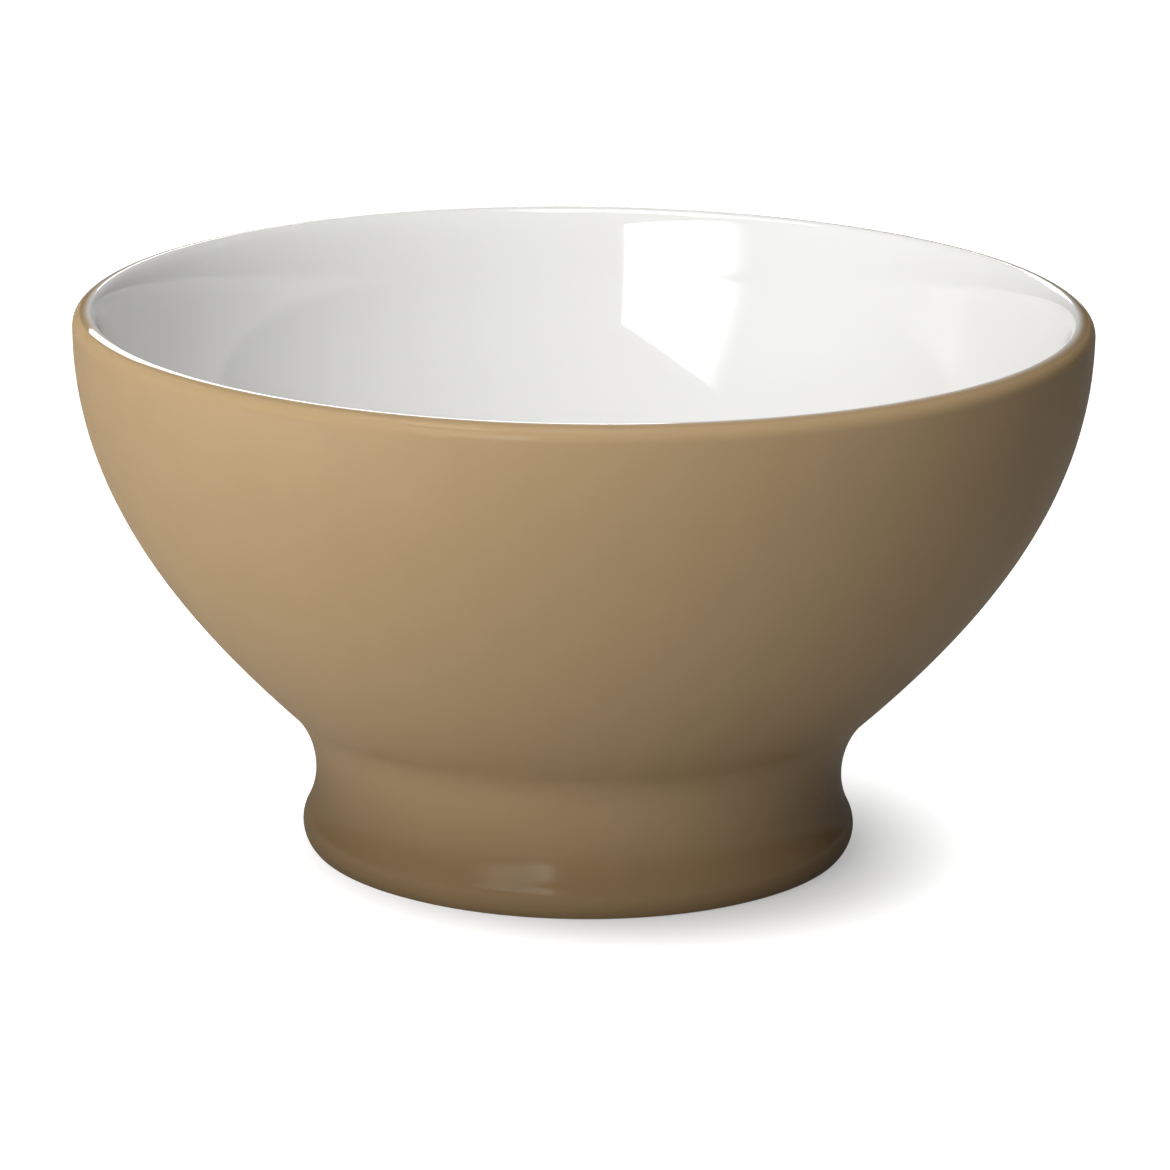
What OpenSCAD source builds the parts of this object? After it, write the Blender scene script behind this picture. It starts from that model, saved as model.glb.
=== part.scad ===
// Latte bowl on a drawn-in foot, white inside and coloured outside.
// Sizes are finished sizes, over the glaze, in millimetres.
// The origin is on the table, on the axis of the bowl, and +Z points up.

/* [Bowl] */
// Outside diameter at the rim
rim_d = 140; // [124:1:156]
// Height from the table to the top of the lip
bowl_h = 76.2; // [66:0.1:90]
// Rounding of the lip's outer edge
lip_round = 2.2; // [1.2:0.1:2.6]
// Handle of the lip's inner curve at its top, where it is level
lip_inner = 1.5; // [1.2:0.1:2.2]
// Handle of that curve at its lower end, along the wall
lip_lower = 3.5; // [1.5:0.5:5]
// Share of the wall's curve, from the lip down, over which the lip thickens
lip_share = 0.14; // [0.1:0.01:0.24]
// Thickness of the wall at the point where the lip's inner curve ends
lip_t = 4.6; // [3.8:0.1:5.4]
// Thickness of the wall at the point where the inside leaves its line
wall_t = 4.8; // [3.8:0.1:5.6]
// Share of the wall's curve, from the lip down, that the inside follows
wall_share = 0.55; // [0.4:0.05:0.75]
// Handle of the wall's curve at the lip, where the wall is upright
wall_upper = 20; // [12:0.5:28]
// Handle of the wall's curve at the neck, along the slope there
wall_lower = 24; // [14:0.5:32]
// Thickness of the floor at its middle
floor_t = 4.8; // [3.2:0.1:7]

/* [Foot] */
// Diameter at the foot's widest line
foot_d = 77; // [70:0.5:86]
// Rounding of the foot's outer edge
bead_r = 4; // [2.6:0.1:5]
// Angle through which that edge turns under, down to the table
edge_turn = 54; // [40:1:70]
// Depth of the waist, measured in from the widest line
waist_in = 1.8; // [1:0.1:4]
// Height of the waist
waist_z = 10.4; // [9:0.1:13]
// Radius of the neck, from the waist up to the wall
neck_r = 14.6; // [11:0.1:18]
// Slope of the wall where the neck ends, from upright
neck_slope = 46.5; // [40:0.5:52]
// Thickness of the foot's wall at the waist, without glaze
foot_wall_t = 4.9; // [3:0.1:7]
// Width of the foot on the table, before its inner edge is rounded
ring_w = 3.4; // [2.4:0.1:5]
// Rounding of the foot's inner edge
ring_round = 1; // [0.4:0.1:1.6]
// Clear height between the table and the middle of the bowl's underside
recess_h = 6; // [4.5:0.1:8]

/* [Joint] */
// Height of the seat, where the foot is stuck to the bowl, above the waist
seat_up = 4.2; // [2:0.1:6]
// Thickness of the slip between the foot and the bowl
slip_t = 0.4; // [0.2:0.05:1]
// Rounding of the slip wiped into the corner under the bowl
slip_round = 2.5; // [1:0.1:4]

/* [Glaze] */
// Thickness of every glaze
glaze_t = 0.3; // [0.15:0.05:0.6]
// Angle up the lip's rounding where the white glaze meets the coloured one
colour_line = 58; // [20:1:80]
// Height of the coloured glaze's lower edge above the table
bare_h = 0.35; // [0.2:0.05:1.5]
// Height of the underside glaze's lower edge above the table
hollow_bare_h = 1.6; // [1.2:0.1:4]

/* [Hidden] */
$fn = 120;

// Steps along a rounding, down the lip's inner curve, along the wall and across the dish of the floor
round_n = 10;
lip_n = 16;
wall_n = 30;
dish_n = 30;
// Stations closer than this are one and the same
same = 0.0001;

// Lip
rim_r = rim_d / 2;
lip_c = [rim_r - lip_round, bowl_h - lip_round];
lip_top = [lip_c.x, bowl_h];

// Foot, from its edge on the table up to the waist
bead_z = (bead_r - glaze_t) * sin(edge_turn);
bead_c = [foot_d / 2 - bead_r, bead_z];
waist_r = foot_d / 2 - waist_in;
waist_rise = waist_z - bead_z;
flare_r = pow(waist_rise, 2) / (2 * waist_in) - bead_r + waist_in / 2;
flare_turn = asin(waist_rise / (flare_r + bead_r));
flare_c = [waist_r + flare_r, waist_z];
neck_c = [waist_r + neck_r, waist_z];
glaze_turn = asin((bead_z - bare_h) / bead_r);

// Seat of the foot under the bowl, with the slip between two level faces
seat_top = waist_z + seat_up + slip_t / 2;
seat_bottom = seat_top - slip_t;
bore_r = waist_r - glaze_t - foot_wall_t;
function neck_turn(z) = 180 - asin((z - waist_z) / (neck_r + glaze_t));

// Inner wall of the foot, which leans out towards the table
ring_outer_r = bead_c.x + (bead_r - glaze_t) * cos(edge_turn);
hollow_r = ring_outer_r - ring_w;
lean = atan((hollow_r - bore_r) / seat_bottom);
ring_c = [hollow_r + ring_round * (1 / cos(lean) - tan(lean)), ring_round];
wall_down = [sin(lean), -cos(lean)];
wall_in = [-cos(lean), -sin(lean)];

// Dome of the bowl's underside, from the middle to the inner edge of the seat
dome_z = recess_h + glaze_t;
dome_rise = seat_top - dome_z;
dome_r = (pow(bore_r, 2) + pow(dome_rise, 2)) / (2 * dome_rise);
dome_c = [0, dome_z + dome_r];
function turn_from(centre, p) = atan2(p.y - centre.y, p.x - centre.x);
dome_edge_turn = turn_from(dome_c, [bore_r, seat_top]);

// Rounding of the slip, which touches both the dome and the foot's inner wall
slip_reach = [bore_r, seat_bottom] + slip_round * wall_in - dome_c;
slip_along = slip_reach * wall_down;
slip_drop = sqrt(pow(slip_along, 2) - slip_reach * slip_reach + pow(dome_r + slip_round, 2)) - slip_along;
slip_c = dome_c + slip_reach + slip_drop * wall_down;
slip_turn = turn_from(dome_c, slip_c);

// A station on an outline is a point and the direction that points out of the clay there.
function arc(centre, r, from, to, side) = [
    for (i = [0:round_n])
        let (turn = from + (to - from) * i / round_n, way = [cos(turn), sin(turn)])
        [centre + r * way, side * way]
];

// A curve runs between two points and leaves each one along its handle.
function curve_point(p, u) =
    pow(1 - u, 3) * p[0] + 3 * pow(1 - u, 2) * u * p[1] + 3 * (1 - u) * pow(u, 2) * p[2] + pow(u, 3) * p[3];
function curve_way(p, u) =
    pow(1 - u, 2) * (p[1] - p[0]) + 2 * (1 - u) * u * (p[2] - p[1]) + pow(u, 2) * (p[3] - p[2]);
function left_of(way) = [-way.y, way.x] / norm(way);
function along(p, n, side) = [
    for (i = [0:n])
        [curve_point(p, i / n), side * left_of(curve_way(p, i / n))]
];

// Outlines end to end, with the stations that they share kept once
function last(list) = list[len(list) - 1];
function joined(outlines) = [
    for (k = [0:len(outlines) - 1])
        for (i = [0:len(outlines[k]) - 1])
            if (k == 0 || i > 0 || norm(outlines[k][0][0] - last(outlines[k - 1])[0]) > same)
                outlines[k][i]
];

// Points at a height d over an outline's stations
function skin(outline, d) = [for (station = outline) station[0] + d * station[1]];
function reversed(list) = [for (i = [len(list) - 1:-1:0]) list[i]];
function layer(outline, low, high) = concat(skin(outline, low), reversed(skin(outline, high)));

// Outside, from the colour line over the lip's edge down to the table
neck_end = neck_c + neck_r * [-cos(neck_slope), sin(neck_slope)];
wall_top = [rim_r, lip_c.y];
wall_curve = [
    wall_top,
    wall_top - [0, wall_upper],
    neck_end + wall_lower * [sin(neck_slope), cos(neck_slope)],
    neck_end
];
lip_edge = arc(lip_c, lip_round, colour_line, 0, 1);
wall_outside = along(wall_curve, wall_n, 1);
neck_on_bowl = arc(neck_c, neck_r, 180 - neck_slope, neck_turn(seat_top), -1);
neck_on_slip = arc(neck_c, neck_r, neck_turn(seat_top), neck_turn(seat_bottom), -1);
neck_on_foot = arc(neck_c, neck_r, neck_turn(seat_bottom), 180, -1);
flare = arc(flare_c, flare_r, 180, 180 + flare_turn, -1);
bead_glazed = arc(bead_c, bead_r, flare_turn, -glaze_turn, 1);
bead_bare = arc(bead_c, bead_r, -glaze_turn, -edge_turn, 1);
bowl_outside = joined([lip_edge, wall_outside, neck_on_bowl]);
foot_outside = joined([neck_on_foot, flare, bead_glazed, bead_bare]);
coloured_outside = joined([bowl_outside, neck_on_slip, neck_on_foot, flare, bead_glazed]);

// Inside, from the colour line over the lip and down the wall to the middle of the floor
lip_crown = arc(lip_c, lip_round, colour_line, 90, 1);
wall_inside = [
    for (i = [0:wall_n])
        let (
            u = lip_share + (wall_share - lip_share) * i / wall_n,
            way_out = left_of(curve_way(wall_curve, u)),
            t = lip_t + (wall_t - lip_t) * i / wall_n
        )
        [curve_point(wall_curve, u) - t * way_out, -way_out]
];
lip_end = wall_inside[0][0];
lip_way = curve_way(wall_curve, lip_share);
lip_curve = [
    lip_top,
    lip_top - [lip_inner, 0],
    lip_end - lip_lower * lip_way / norm(lip_way),
    lip_end
];
lip_inside = along(lip_curve, lip_n, -1);
dish_start = last(wall_inside)[0];
dish_way = dish_start - wall_inside[wall_n - 1][0];
dish_end = [0, recess_h + floor_t];
// Handles that make the dish a round arc wherever its ends allow one
dish_turn = asin(-dish_way.y / norm(dish_way));
dish_handle = norm(dish_start - dish_end) * 2 / (3 * (1 + cos(dish_turn / 2)));
dish_curve = [
    dish_start,
    dish_start + dish_handle * dish_way / norm(dish_way),
    dish_end + [dish_handle, 0],
    dish_end
];
dish = along(dish_curve, dish_n, -1);
white_inside = joined([lip_crown, lip_inside, wall_inside, dish]);

// Underside, from the middle of the dome to the glaze's edge in the foot
dome_glazed = arc(dome_c, dome_r, -90, slip_turn, 1);
dome_on_slip = arc(dome_c, dome_r, slip_turn, dome_edge_turn, 1);
slip_corner = arc(slip_c, slip_round, slip_turn + 180, lean, -1);
hollow_end = [[[hollow_r - hollow_bare_h * tan(lean), hollow_bare_h], wall_in]];
underside = joined([dome_glazed, slip_corner, hollow_end]);
ring_edge = arc(ring_c, ring_round, -90, lean - 180, 1);

module turned(outline) {
    rotate_extrude() polygon(outline);
}

// White clay from the lip down to the level seat and the dome inside it
module bowl_body() {
    underneath = skin(joined([dome_glazed, dome_on_slip]), 0);
    inside = skin(white_inside, -glaze_t);
    color("ivory")
        turned(concat(
            skin(bowl_outside, -glaze_t),
            reversed(underneath),
            [for (i = [len(inside) - 1:-1:1]) inside[i]]
        ));
}

// Drawn-in foot, formed by itself because its waist would lock the bowl in its mould
module foot_ring() {
    color("linen")
        turned(concat(
            [[bore_r, seat_bottom]],
            skin(foot_outside, -glaze_t),
            skin(ring_edge, 0)
        ));
}

// Slip that sticks the foot on, level between the seats and wiped round in the corner
module slip_joint() {
    color("wheat")
        turned(concat(
            skin(neck_on_slip, -glaze_t),
            [[bore_r, seat_bottom]],
            skin(joined([reversed(slip_corner), dome_on_slip]), 0)
        ));
}

// White glaze over the inside and the top of the lip
module inside_glaze() {
    color("white")
        turned(layer(white_inside, -glaze_t, 0));
}

// Coloured glaze from the lip's outer edge to just above the table
module outside_glaze() {
    color([0.62, 0.53, 0.39])
        turned(layer(coloured_outside, -glaze_t, 0));
}

// White glaze under the bowl, inside the foot
module underside_glaze() {
    color("whitesmoke")
        turned(layer(underside, 0, glaze_t));
}

bowl_body();
foot_ring();
slip_joint();
inside_glaze();
outside_glaze();
underside_glaze();
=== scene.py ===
"""A glazed latte bowl on a plain pale floor.

The glazes and the foot are turned pieces that stand for their solids. The clay under them stays as it was
packed.
"""
import math

import bpy
from mathutils import Matrix, Vector


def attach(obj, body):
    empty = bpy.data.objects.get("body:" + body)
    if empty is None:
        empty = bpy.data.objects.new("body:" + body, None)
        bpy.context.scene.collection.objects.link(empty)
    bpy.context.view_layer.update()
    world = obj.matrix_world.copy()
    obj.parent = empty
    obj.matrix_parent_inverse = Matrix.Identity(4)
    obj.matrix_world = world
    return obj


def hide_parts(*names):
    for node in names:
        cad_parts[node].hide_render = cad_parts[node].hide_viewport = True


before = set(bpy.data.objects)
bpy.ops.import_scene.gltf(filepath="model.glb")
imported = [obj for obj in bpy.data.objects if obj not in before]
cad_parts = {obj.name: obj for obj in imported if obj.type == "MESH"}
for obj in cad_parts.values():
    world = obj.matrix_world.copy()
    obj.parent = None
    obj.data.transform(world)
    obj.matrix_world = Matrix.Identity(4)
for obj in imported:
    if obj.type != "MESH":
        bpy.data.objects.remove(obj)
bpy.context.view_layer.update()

MM = 0.001

# Sizes of the bowl in millimetres and degrees, over the glaze, as in the part's source
RIM_R = 70
BOWL_H = 76.2
LIP_ROUND = 2.2
LIP_INNER = 1.5
LIP_LOWER = 3.5
LIP_SHARE = 0.14
LIP_T = 4.6
WALL_T = 4.8
WALL_SHARE = 0.55
WALL_UPPER = 20
WALL_LOWER = 24
FLOOR_T = 4.8
FOOT_R = 38.5
BEAD_R = 4
EDGE_TURN = 54
WAIST_IN = 1.8
WAIST_Z = 10.4
NECK_R = 14.6
NECK_SLOPE = 46.5
FOOT_WALL_T = 4.9
RING_W = 3.4
RING_ROUND = 1
RECESS_H = 6
SEAT_UP = 4.2
SLIP_T = 0.4
SLIP_ROUND = 2.5
GLAZE_T = 0.3
COLOUR_LINE = 58
BARE_H = 0.35
HOLLOW_BARE_H = 1.6

# Steps of a turned piece: round the axis, along a rounding and along a long curve
TURN_STEPS = 160
ROUND_STEPS = 16
CURVE_STEPS = 36
SMOOTH_ANGLE = math.radians(35)


# Outlines: lists of points (radius, height) in millimetres

def way(degrees):
    return Vector((math.cos(math.radians(degrees)), math.sin(math.radians(degrees))))


def turn_of(v):
    return math.degrees(math.atan2(v.y, v.x))


def arc(centre, radius, start, end):
    return [centre + radius * way(start + (end - start) * i / ROUND_STEPS) for i in range(ROUND_STEPS + 1)]


def curve_point(p, u):
    return (1 - u) ** 3 * p[0] + 3 * (1 - u) ** 2 * u * p[1] + 3 * (1 - u) * u ** 2 * p[2] + u ** 3 * p[3]


def curve_way(p, u):
    d = (1 - u) ** 2 * (p[1] - p[0]) + 2 * (1 - u) * u * (p[2] - p[1]) + u ** 2 * (p[3] - p[2])
    return d.normalized()


def curve(p):
    return [curve_point(p, i / CURVE_STEPS) for i in range(CURVE_STEPS + 1)]


def joined(*outlines):
    """Outlines end to end, with the points that they share kept once."""
    points = list(outlines[0])
    for outline in outlines[1:]:
        points += outline[1:] if (outline[0] - points[-1]).length < GLAZE_T / 100 else outline
    return points


# Outside of the bowl, from the lip down to the table
lip_c = Vector((RIM_R - LIP_ROUND, BOWL_H - LIP_ROUND))
bead_z = (BEAD_R - GLAZE_T) * math.sin(math.radians(EDGE_TURN))
bead_c = Vector((FOOT_R - BEAD_R, bead_z))
waist_r = FOOT_R - WAIST_IN
flare_r = (WAIST_Z - bead_z) ** 2 / (2 * WAIST_IN) - BEAD_R + WAIST_IN / 2
flare_turn = math.degrees(math.asin((WAIST_Z - bead_z) / (flare_r + BEAD_R)))
flare_c = Vector((waist_r + flare_r, WAIST_Z))
neck_c = Vector((waist_r + NECK_R, WAIST_Z))
neck_end = neck_c + NECK_R * way(180 - NECK_SLOPE)
wall_top = Vector((RIM_R, lip_c.y))
wall_curve = [
    wall_top,
    wall_top - Vector((0, WALL_UPPER)),
    neck_end + WALL_LOWER * way(90 - NECK_SLOPE),
    neck_end,
]
glaze_turn = math.degrees(math.asin((bead_z - BARE_H) / BEAD_R))
outside = joined(
    arc(lip_c, LIP_ROUND, COLOUR_LINE, 0),
    curve(wall_curve),
    arc(neck_c, NECK_R, 180 - NECK_SLOPE, 180),
    arc(flare_c, flare_r, 180, 180 + flare_turn),
    arc(bead_c, BEAD_R, flare_turn, -glaze_turn),
)

# Inside of the bowl, from the colour line over the lip and down to the middle of the floor
wall_inside = []
for i in range(CURVE_STEPS + 1):
    share = i / CURVE_STEPS
    u = LIP_SHARE + (WALL_SHARE - LIP_SHARE) * share
    along = curve_way(wall_curve, u)
    outwards = Vector((-along.y, along.x))
    wall_inside.append(curve_point(wall_curve, u) - (LIP_T + (WALL_T - LIP_T) * share) * outwards)
lip_top = Vector((lip_c.x, BOWL_H))
lip_curve = [
    lip_top,
    lip_top - Vector((LIP_INNER, 0)),
    wall_inside[0] - LIP_LOWER * curve_way(wall_curve, LIP_SHARE),
    wall_inside[0],
]
dish_way = (wall_inside[-1] - wall_inside[-2]).normalized()
dish_end = Vector((0, RECESS_H + FLOOR_T))
dish_turn = math.asin(-dish_way.y)
dish_handle = (wall_inside[-1] - dish_end).length * 2 / (3 * (1 + math.cos(dish_turn / 2)))
dish_curve = [
    wall_inside[-1],
    wall_inside[-1] + dish_handle * dish_way,
    dish_end + Vector((dish_handle, 0)),
    dish_end,
]
inside = joined(arc(lip_c, LIP_ROUND, COLOUR_LINE, 90), curve(lip_curve), wall_inside, curve(dish_curve))

# Underside, from the middle of the dome down the inner wall of the foot, which leans out to the table
seat_top = WAIST_Z + SEAT_UP + SLIP_T / 2
seat_bottom = seat_top - SLIP_T
bore_r = waist_r - GLAZE_T - FOOT_WALL_T
hollow_r = bead_c.x + (BEAD_R - GLAZE_T) * math.cos(math.radians(EDGE_TURN)) - RING_W
lean = math.degrees(math.atan((hollow_r - bore_r) / seat_bottom))
wall_down = way(lean - 90)
wall_in = way(180 + lean)
dome_rise = seat_top - RECESS_H - GLAZE_T
dome_r = (bore_r ** 2 + dome_rise ** 2) / (2 * dome_rise)
dome_c = Vector((0, RECESS_H + GLAZE_T + dome_r))
slip_reach = Vector((bore_r, seat_bottom)) + SLIP_ROUND * wall_in - dome_c
slip_along = slip_reach.dot(wall_down)
slip_drop = math.sqrt(slip_along ** 2 - slip_reach.length_squared + (dome_r + SLIP_ROUND) ** 2) - slip_along
slip_c = dome_c + slip_reach + slip_drop * wall_down
slip_turn = turn_of(slip_c - dome_c)
tan_lean = math.tan(math.radians(lean))
hollow_end = Vector((hollow_r - HOLLOW_BARE_H * tan_lean, HOLLOW_BARE_H)) + GLAZE_T * wall_in
underside = joined(
    arc(dome_c, dome_r + GLAZE_T, -90, slip_turn),
    arc(slip_c, SLIP_ROUND - GLAZE_T, slip_turn + 180, lean),
    [hollow_end],
)

# Foot under its glazes, once round from the inner edge of its seat
neck_start = 180 - math.degrees(math.asin((seat_bottom - WAIST_Z) / (NECK_R + GLAZE_T)))
ring_c = Vector((hollow_r + RING_ROUND * (1 / math.cos(math.radians(lean)) - tan_lean), RING_ROUND))
seat_edge = Vector((bore_r, seat_bottom))
foot = joined(
    [seat_edge],
    arc(neck_c, NECK_R + GLAZE_T, neck_start, 180),
    arc(flare_c, flare_r + GLAZE_T, 180, 180 + flare_turn),
    arc(bead_c, BEAD_R - GLAZE_T, flare_turn, -EDGE_TURN),
    arc(ring_c, RING_ROUND, -90, lean - 180),
    [seat_edge],
)


# Turned pieces

def turned(name, outline, faces_in=False, thickness=0):
    """Draws an outline from a single point, spins it round the axis, and gives an open skin its thickness."""
    bpy.ops.object.select_all(action="DESELECT")
    start = Vector((outline[0].x, 0, outline[0].y)) * MM
    bpy.ops.mesh.primitive_plane_add(size=MM, location=start)
    piece = bpy.context.object
    piece.name = name
    piece.data.name = name
    bpy.ops.object.transform_apply(location=True, rotation=True, scale=True)
    bpy.ops.object.mode_set(mode="EDIT")
    bpy.ops.mesh.select_all(action="SELECT")
    bpy.ops.mesh.merge(type="CENTER")
    for here, there in zip(outline, outline[1:]):
        step = Vector((there.x - here.x, 0, there.y - here.y)) * MM
        bpy.ops.mesh.extrude_vertices_move(TRANSFORM_OT_translate={"value": step})
    bpy.ops.mesh.select_all(action="SELECT")
    bpy.ops.mesh.spin(steps=TURN_STEPS, angle=math.tau, center=(0, 0, 0), axis=(0, 0, 1))
    bpy.ops.mesh.select_all(action="SELECT")
    bpy.ops.mesh.remove_doubles(threshold=GLAZE_T * MM / 100)
    bpy.ops.mesh.normals_make_consistent(inside=faces_in)
    bpy.ops.object.mode_set(mode="OBJECT")
    if thickness:
        wall = piece.modifiers.new("Thickness", "SOLIDIFY")
        wall.thickness = thickness * MM
        wall.offset = -1
        bpy.ops.object.modifier_apply(modifier=wall.name)
    bpy.ops.object.shade_smooth_by_angle(angle=SMOOTH_ANGLE)
    return piece


inside_skin = turned("inside_glaze_skin", inside, thickness=GLAZE_T)
outside_skin = turned("outside_glaze_skin", outside, thickness=GLAZE_T)
underside_skin = turned("underside_glaze_skin", underside, faces_in=True, thickness=GLAZE_T)
foot_piece = turned("foot_ring_turned", foot)

for piece, node_name, slot_name in (
    (inside_skin, "inside_glaze", "white_glaze"),
    (outside_skin, "outside_glaze", "coloured_glaze"),
    (underside_skin, "underside_glaze", "white_glaze"),
    (foot_piece, "foot_ring", "china_body"),
):
    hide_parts(node_name)
    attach(piece, "root")


# Materials
COLOURED_GLAZE = "#AA916D"
# Deeper colour on the foot: partly glaze pooled there, partly painted shade
GATHERED_GLAZE_AND_SHADE = "#8F7756"
FLOOR_GREY = "#AEAEAE"
WHITE = "#FFFFFF"

# Heights between which the coloured glaze deepens towards the table, partly where it pooled and partly as
# painted shade, and distances from the axis between which it comes to cover the white on the lip, in
# millimetres
GATHERED_SHADE_Z = 5
EVEN_Z = 18
LAP_ENDS_R = 67.3
LAP_FULL_R = 68.6
LAP_WAVER = 0.1


def colour(code):
    """Linear colour of an sRGB hex value."""
    parts = [int(code[i:i + 2], 16) / 255 for i in (1, 3, 5)]
    return tuple(c / 12.92 if c <= 0.04045 else ((c + 0.055) / 1.055) ** 2.4 for c in parts) + (1,)


def add(tree, kind, inputs=None, **settings):
    """Adds a node, sets its settings, and sets or links its inputs."""
    new = tree.nodes.new(kind)
    for name, value in settings.items():
        setattr(new, name, value)
    for key, value in (inputs or {}).items():
        if isinstance(value, bpy.types.NodeSocket):
            tree.links.new(value, new.inputs[key])
        else:
            new.inputs[key].default_value = value
    return new


def per_metre(size_mm):
    """Texture scale at which one feature of a pattern is about that many millimetres wide."""
    return 1 / (size_mm * MM)


def start_material(name):
    material = bpy.data.materials.new(name)
    material.use_nodes = True
    tree = material.node_tree
    tree.nodes.clear()
    return material, tree


def coloured_glaze():
    """Opaque coloured glaze, dipped and fired to a soft gloss.

    It gives an even colour that is a little cloudy, with faint runs down the wall. It is deeper on the foot,
    partly where it pooled there and partly as painted shade, and its thin clear surface mirrors softly.
    """
    material, tree = start_material("coloured_glaze_dipped_soft_gloss")
    place = add(tree, "ShaderNodeTexCoord").outputs["Object"]
    height = add(tree, "ShaderNodeSeparateXYZ", {"Vector": place}).outputs["Z"]

    # Clouds of about 30 mm, and runs about 6 mm wide and 40 mm long
    clouds = add(tree, "ShaderNodeTexNoise", {"Vector": place, "Scale": per_metre(30), "Detail": 3})
    down = add(tree, "ShaderNodeMapping", {"Vector": place, "Scale": (1, 1, 6 / 40)})
    runs = add(tree, "ShaderNodeTexNoise", {"Vector": down.outputs[0], "Scale": per_metre(6), "Detail": 2})
    uneven = add(tree, "ShaderNodeMath", {0: clouds.outputs[0], 1: runs.outputs[0]}, operation="ADD")
    uneven = add(tree, "ShaderNodeMapRange", {
        "Value": uneven.outputs[0], "From Min": 0, "From Max": 2, "To Min": 0.94, "To Max": 1.06})

    # Darker on the foot, below the waist: partly glaze pooled there, partly painted shade
    gathered_and_shade = add(tree, "ShaderNodeMapRange", {
        "Value": height, "From Min": GATHERED_SHADE_Z * MM, "From Max": EVEN_Z * MM, "To Min": 1, "To Max": 0},
        interpolation_type="SMOOTHSTEP")
    tint = add(tree, "ShaderNodeMix", {
        0: gathered_and_shade.outputs[0], 6: colour(COLOURED_GLAZE), 7: colour(GATHERED_GLAZE_AND_SHADE)}, data_type="RGBA")
    tint = add(tree, "ShaderNodeHueSaturation", {"Color": tint.outputs[2], "Value": uneven.outputs[0]})

    # Gloss that varies over about 12 mm, on a skin that waves over about 4 mm by a hundredth
    cloudy = add(tree, "ShaderNodeTexNoise", {"Vector": place, "Scale": per_metre(12), "Detail": 2})
    rough = add(tree, "ShaderNodeMapRange", {"Value": cloudy.outputs[0], "To Min": 0.28, "To Max": 0.4})
    gloss = add(tree, "ShaderNodeMapRange", {"Value": cloudy.outputs[0], "To Min": 0.08, "To Max": 0.045})
    wave = add(tree, "ShaderNodeTexNoise", {"Vector": place, "Scale": per_metre(4), "Detail": 1})
    skin = add(tree, "ShaderNodeBump", {"Height": wave.outputs[0], "Strength": 1, "Distance": 0.012 * MM})
    body = add(tree, "ShaderNodeBsdfPrincipled", {
        "Base Color": tint.outputs[0], "Roughness": rough.outputs[0], "IOR": 1.5, "Specular IOR Level": 0,
        "Normal": skin.outputs[0], "Coat Weight": gloss.outputs[0], "Coat Roughness": 0.14, "Coat IOR": 1.8,
        "Coat Normal": skin.outputs[0]})
    add(tree, "ShaderNodeOutputMaterial", {"Surface": body.outputs[0]})
    return material


def white_glaze():
    """White glaze, poured in and fired to a full gloss.

    It mirrors what stands round it, on a skin that waves very slightly, and its white is a little uneven.
    """
    material, tree = start_material("white_glaze_poured_gloss")
    place = add(tree, "ShaderNodeTexCoord").outputs["Object"]

    # White that drifts over about 45 mm
    drift = add(tree, "ShaderNodeTexNoise", {"Vector": place, "Scale": per_metre(45), "Detail": 2})
    drift = add(tree, "ShaderNodeMapRange", {
        "Value": drift.outputs[0], "From Min": 0.2, "From Max": 0.8})
    tint = add(tree, "ShaderNodeMix", {
        0: drift.outputs[0], 6: colour("#E8E7E4"), 7: colour("#EBEBEA")}, data_type="RGBA")

    # The coloured glaze laps over it on the lip and thins out there, on a line that wavers by a tenth
    level = add(tree, "ShaderNodeVectorMath", {0: place, 1: (1, 1, 0)}, operation="MULTIPLY")
    from_axis = add(tree, "ShaderNodeVectorMath", {0: level.outputs["Vector"]}, operation="LENGTH")
    waver = add(tree, "ShaderNodeTexNoise", {"Vector": place, "Scale": per_metre(9), "Detail": 2})
    waver = add(tree, "ShaderNodeMapRange", {
        "Value": waver.outputs[0], "To Min": -LAP_WAVER * MM, "To Max": LAP_WAVER * MM})
    line = add(tree, "ShaderNodeMath", {0: from_axis.outputs["Value"], 1: waver.outputs[0]}, operation="ADD")
    lap = add(tree, "ShaderNodeMapRange", {
        "Value": line.outputs[0], "From Min": LAP_ENDS_R * MM, "From Max": LAP_FULL_R * MM},
        interpolation_type="SMOOTHSTEP")
    tint = add(tree, "ShaderNodeMix", {
        0: lap.outputs[0], 6: tint.outputs[2], 7: colour(COLOURED_GLAZE)}, data_type="RGBA")

    # Gloss that varies over about 20 mm, on a skin that waves over about 10 mm by less than a hundredth
    gloss = add(tree, "ShaderNodeTexNoise", {"Vector": place, "Scale": per_metre(20), "Detail": 2})
    gloss = add(tree, "ShaderNodeMapRange", {"Value": gloss.outputs[0], "To Min": 0.02, "To Max": 0.1})
    wave = add(tree, "ShaderNodeTexNoise", {"Vector": place, "Scale": per_metre(10), "Detail": 1})
    skin = add(tree, "ShaderNodeBump", {"Height": wave.outputs[0], "Strength": 1, "Distance": 0.008 * MM})
    body = add(tree, "ShaderNodeBsdfPrincipled", {
        "Base Color": tint.outputs[2], "Roughness": gloss.outputs[0], "IOR": 1.55, "Normal": skin.outputs[0]})
    add(tree, "ShaderNodeOutputMaterial", {"Surface": body.outputs[0]})
    return material


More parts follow.
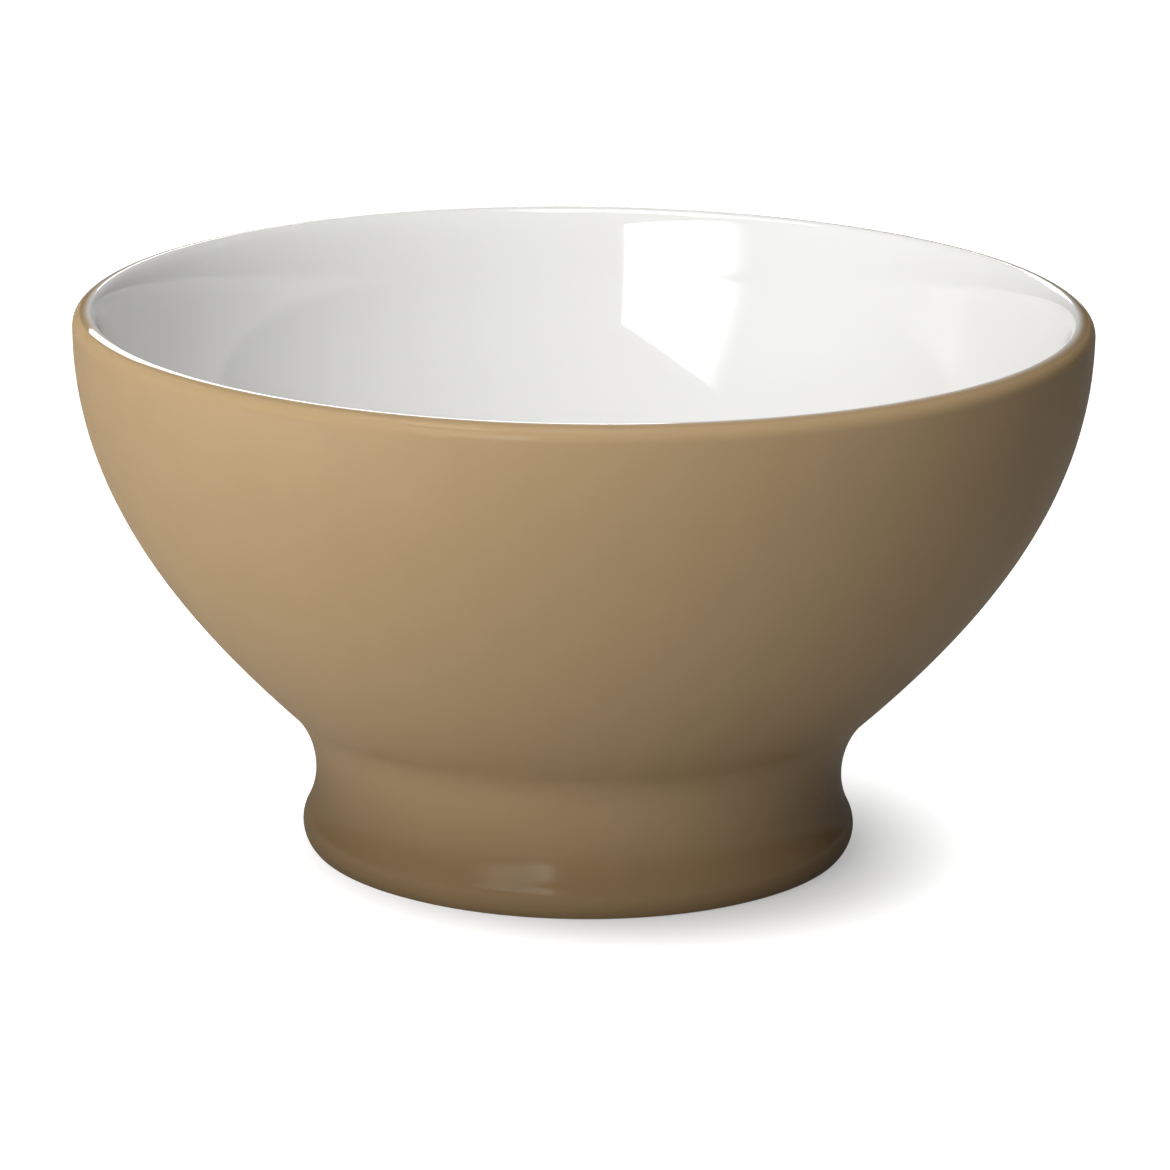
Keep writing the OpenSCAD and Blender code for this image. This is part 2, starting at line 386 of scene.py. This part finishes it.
def ground_china():
    """White china of the foot, fired bare and ground flat where it stands.

    It gives a matte, sandy white with fine rings from the grinding, greyer where it has rubbed on tables.
    """
    material, tree = start_material("china_foot_fired_and_ground")
    place = add(tree, "ShaderNodeTexCoord").outputs["Object"]
    height = add(tree, "ShaderNodeSeparateXYZ", {"Vector": place}).outputs["Z"]

    # Grit of about 0.4 mm, and grinding rings about 0.5 mm apart
    grit = add(tree, "ShaderNodeTexNoise", {"Vector": place, "Scale": per_metre(0.4), "Detail": 3})
    # One ring of the wave takes a twentieth of its scale
    rings = add(tree, "ShaderNodeTexWave", {
        "Vector": place, "Scale": per_metre(0.5) / 20, "Distortion": 1.5, "Detail": 2, "Detail Scale": 4},
        wave_type="RINGS", rings_direction="Z")
    tint = add(tree, "ShaderNodeMix", {
        0: grit.outputs[0], 6: colour("#DCD5C5"), 7: colour("#EAE5D9")}, data_type="RGBA")

    # Rubbed grey in patches of about 5 mm, on the lowest third of a millimetre
    low = add(tree, "ShaderNodeMapRange", {
        "Value": height, "From Min": 0.1 * MM, "From Max": 0.35 * MM, "To Min": 0.6, "To Max": 0},
        interpolation_type="SMOOTHSTEP")
    patches = add(tree, "ShaderNodeTexNoise", {"Vector": place, "Scale": per_metre(5), "Detail": 4})
    rubbed = add(tree, "ShaderNodeMath", {0: low.outputs[0], 1: patches.outputs[0]}, operation="MULTIPLY")
    tint = add(tree, "ShaderNodeMix", {
        0: rubbed.outputs[0], 6: tint.outputs[2], 7: colour("#A9A49A")}, data_type="RGBA")

    worn = add(tree, "ShaderNodeMapRange", {"Value": rings.outputs[1], "To Min": 0.7, "To Max": 0.85})
    rough = add(tree, "ShaderNodeMath", {0: grit.outputs[0], 1: rings.outputs[1]}, operation="ADD")
    skin = add(tree, "ShaderNodeBump", {"Height": rough.outputs[0], "Strength": 1, "Distance": 0.02 * MM})
    body = add(tree, "ShaderNodeBsdfPrincipled", {
        "Base Color": tint.outputs[2], "Roughness": worn.outputs[0], "IOR": 1.5, "Normal": skin.outputs[0]})
    add(tree, "ShaderNodeOutputMaterial", {"Surface": body.outputs[0]})
    return material


def cast_china():
    """White china body, cast in a plaster mould and fired under the glaze.

    It gives a dense matte white with a very fine grain and cloudy patches.
    """
    material, tree = start_material("china_body_slip_cast")
    place = add(tree, "ShaderNodeTexCoord").outputs["Object"]
    grain = add(tree, "ShaderNodeTexNoise", {"Vector": place, "Scale": per_metre(0.5), "Detail": 2})
    clouds = add(tree, "ShaderNodeTexNoise", {"Vector": place, "Scale": per_metre(25), "Detail": 2})
    tint = add(tree, "ShaderNodeMix", {
        0: clouds.outputs[0], 6: colour("#E0DACB"), 7: colour("#EAE5DA")}, data_type="RGBA")
    skin = add(tree, "ShaderNodeBump", {"Height": grain.outputs[0], "Strength": 1, "Distance": 0.01 * MM})
    body = add(tree, "ShaderNodeBsdfPrincipled", {
        "Base Color": tint.outputs[2], "Roughness": 0.75, "IOR": 1.5, "Normal": skin.outputs[0]})
    add(tree, "ShaderNodeOutputMaterial", {"Surface": body.outputs[0]})
    return material


def wiped_slip():
    """Slip of the joint, brushed on wet, wiped round with a sponge and fired.

    It gives a slightly darker matte white than the cast china, with streaks along the joint.
    """
    material, tree = start_material("china_slip_wiped")
    place = add(tree, "ShaderNodeTexCoord").outputs["Object"]
    streaks = add(tree, "ShaderNodeTexWave", {
        "Vector": place, "Scale": per_metre(0.8) / 20, "Distortion": 3, "Detail": 3, "Detail Scale": 2},
        wave_type="RINGS", rings_direction="Z")
    tint = add(tree, "ShaderNodeMix", {
        0: streaks.outputs[1], 6: colour("#D8D1C1"), 7: colour("#E3DDCF")}, data_type="RGBA")
    skin = add(tree, "ShaderNodeBump", {"Height": streaks.outputs[1], "Strength": 1, "Distance": 0.03 * MM})
    body = add(tree, "ShaderNodeBsdfPrincipled", {
        "Base Color": tint.outputs[2], "Roughness": 0.85, "IOR": 1.5, "Normal": skin.outputs[0]})
    add(tree, "ShaderNodeOutputMaterial", {"Surface": body.outputs[0]})
    return material


def give(piece, material):
    piece.data.materials.clear()
    piece.data.materials.append(material)


white = white_glaze()
give(outside_skin, coloured_glaze())
give(inside_skin, white)
give(underside_skin, white)
give(foot_piece, ground_china())
give(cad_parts["bowl_body"], cast_china())
give(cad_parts["slip_joint"], wiped_slip())


# Floor
FLOOR_SIZE = 8
# Painted shadow: the floor glows less beside the foot, on the side away from the lamps, which darkens it
# there and lets the bowl's shadow show
SHADE_GLOW = 0.38
SHADE_MIDDLE = (7 * MM, -4 * MM, 0)
SHADE_DEEP_R = 26
SHADE_ENDS_R = 54
bpy.ops.object.select_all(action="DESELECT")
bpy.ops.mesh.primitive_plane_add(size=FLOOR_SIZE, location=(0, 0, 0))
floor = bpy.context.object
floor.name = "floor"


def pale_floor():
    """Matte pale studio floor that shows white to the eye and in gloss, keeps the bowl's shadow, and has a
    painted shadow beside the foot where it glows less.
    """
    material, tree = start_material("pale_floor_matte")
    ray = add(tree, "ShaderNodeLightPath").outputs
    seen = ray["Is Camera Ray"]
    for kind in ("Is Glossy Ray", "Is Transmission Ray"):
        seen = add(tree, "ShaderNodeMath", {0: seen, 1: ray[kind]}, operation="MAXIMUM").outputs[0]
    matte = add(tree, "ShaderNodeBsdfDiffuse", {"Color": colour(FLOOR_GREY)})
    place = add(tree, "ShaderNodeTexCoord").outputs["Object"]
    far = add(tree, "ShaderNodeVectorMath", {0: place, 1: SHADE_MIDDLE}, operation="DISTANCE")
    # Weaker glow round SHADE_MIDDLE: a painted shadow beside the foot
    painted_shadow_glow = add(tree, "ShaderNodeMapRange", {
        "Value": far.outputs["Value"], "From Min": SHADE_DEEP_R * MM, "From Max": SHADE_ENDS_R * MM,
        "To Min": SHADE_GLOW}, interpolation_type="SMOOTHSTEP")
    glow = add(tree, "ShaderNodeEmission", {"Color": colour(WHITE), "Strength": painted_shadow_glow.outputs[0]})
    both = add(tree, "ShaderNodeAddShader", {0: matte.outputs[0], 1: glow.outputs[0]})
    mix = add(tree, "ShaderNodeMixShader", {0: seen, 1: matte.outputs[0], 2: both.outputs[0]})
    add(tree, "ShaderNodeOutputMaterial", {"Surface": mix.outputs[0]})
    return material


give(floor, pale_floor())


# Light: a large upright softbox at the front left, two above, one over the floor on the left that throws
# light up at the bowl, one behind that picks out the lip, and a dim room

# Shares of the upright softbox's width: it fades over the first and brightens from the second, by this much
UPRIGHT_FADE = 0.2
UPRIGHT_NEAR = 0.45
NEAR_GLOW = 1.33
FLOOR_SPREAD = math.radians(40)
ROOM_LIGHT = 0.058


def softbox(name, centre, facing, width, height, radiance):
    lamp = bpy.data.lights.new(name, "AREA")
    lamp.shape = "RECTANGLE"
    lamp.size = width
    lamp.size_y = height
    lamp.energy = radiance * math.pi * width * height
    box = bpy.data.objects.new(name, lamp)
    turn = Vector(facing).to_track_quat("-Z", "Y")
    box.matrix_world = Matrix.Translation(centre) @ turn.to_matrix().to_4x4()
    bpy.context.collection.objects.link(box)
    return box


def towards(degrees_round, degrees_up):
    """Direction from the bowl, turned from the camera's side to the right and then raised."""
    round_, up = math.radians(degrees_round), math.radians(degrees_up)
    return Vector((math.sin(round_) * math.cos(up), -math.cos(round_) * math.cos(up), math.sin(up)))


def aimed(name, way_out, far, width, height, radiance):
    """Softbox that stands off in a direction and faces back to the bowl."""
    return softbox(name, far * way_out, -way_out, width, height, radiance)


upright = softbox(
    "upright_softbox", centre=(-0.3485, -0.856, 0.39), facing=(0.960, 0.279, 0),
    width=0.84, height=0.5, radiance=6)
aimed("left_softbox", towards(-60, 65), far=0.75, width=0.4, height=0.16, radiance=6.3)
aimed("front_softbox", towards(-18, 72), far=0.75, width=0.42, height=0.3, radiance=5.3)
over_floor = softbox(
    "floor_softbox", centre=(-0.28, -0.16, 0.5), facing=(0, 0, -1), width=0.2, height=0.3, radiance=11.6)
over_floor.data.spread = FLOOR_SPREAD
aimed("rear_softbox", towards(-168, 27), far=0.9, width=0.4, height=0.2, radiance=6)

# The upright softbox fades at its far end and is brightest at the end towards the camera
upright.data.use_nodes = True
glow_tree = upright.data.node_tree
across = add(glow_tree, "ShaderNodeSeparateXYZ", {
    "Vector": add(glow_tree, "ShaderNodeNewGeometry").outputs["Parametric"]}).outputs["X"]
fade = add(glow_tree, "ShaderNodeMapRange", {
    "Value": across, "From Max": UPRIGHT_FADE}, interpolation_type="SMOOTHSTEP")
near = add(glow_tree, "ShaderNodeMapRange", {
    "Value": across, "From Min": UPRIGHT_NEAR, "To Max": NEAR_GLOW}, interpolation_type="SMOOTHSTEP")
whole = add(glow_tree, "ShaderNodeMath", {0: fade.outputs[0], 1: near.outputs[0]}, operation="ADD")
lamp_glow = glow_tree.nodes["Emission"]
glow_tree.links.new(whole.outputs[0], lamp_glow.inputs["Strength"])

world = bpy.data.worlds.new("dim_room")
bpy.context.scene.world = world
world.use_nodes = True
room = world.node_tree.nodes["Background"]
room.inputs["Color"].default_value = colour(WHITE)
room.inputs["Strength"].default_value = ROOM_LIGHT

# Camera
SENSOR = 36
IMAGE = 1170
FOCAL_PIXELS = 6125
CAMERA_FAR = 0.85
CAMERA_UP = math.radians(15.18)
CAMERA_ROLL = math.radians(0.675)
CAMERA_ASIDE = 0.57 * MM
TARGET_Z = 36.67 * MM
camera = bpy.data.cameras.new("camera")
camera.lens = FOCAL_PIXELS / IMAGE * SENSOR
camera.sensor_width = SENSOR
camera.sensor_fit = "HORIZONTAL"
eye = bpy.data.objects.new("camera", camera)
away = Vector((0, math.cos(CAMERA_UP), -math.sin(CAMERA_UP)))
eye.matrix_world = (
    Matrix.Translation(Vector((CAMERA_ASIDE, 0, TARGET_Z)) - CAMERA_FAR * away)
    @ away.to_track_quat("-Z", "Y").to_matrix().to_4x4()
    @ Matrix.Rotation(CAMERA_ROLL, 4, "Z")
)
bpy.context.collection.objects.link(eye)
bpy.context.scene.camera = eye
bpy.context.scene.view_settings.view_transform = "Standard"
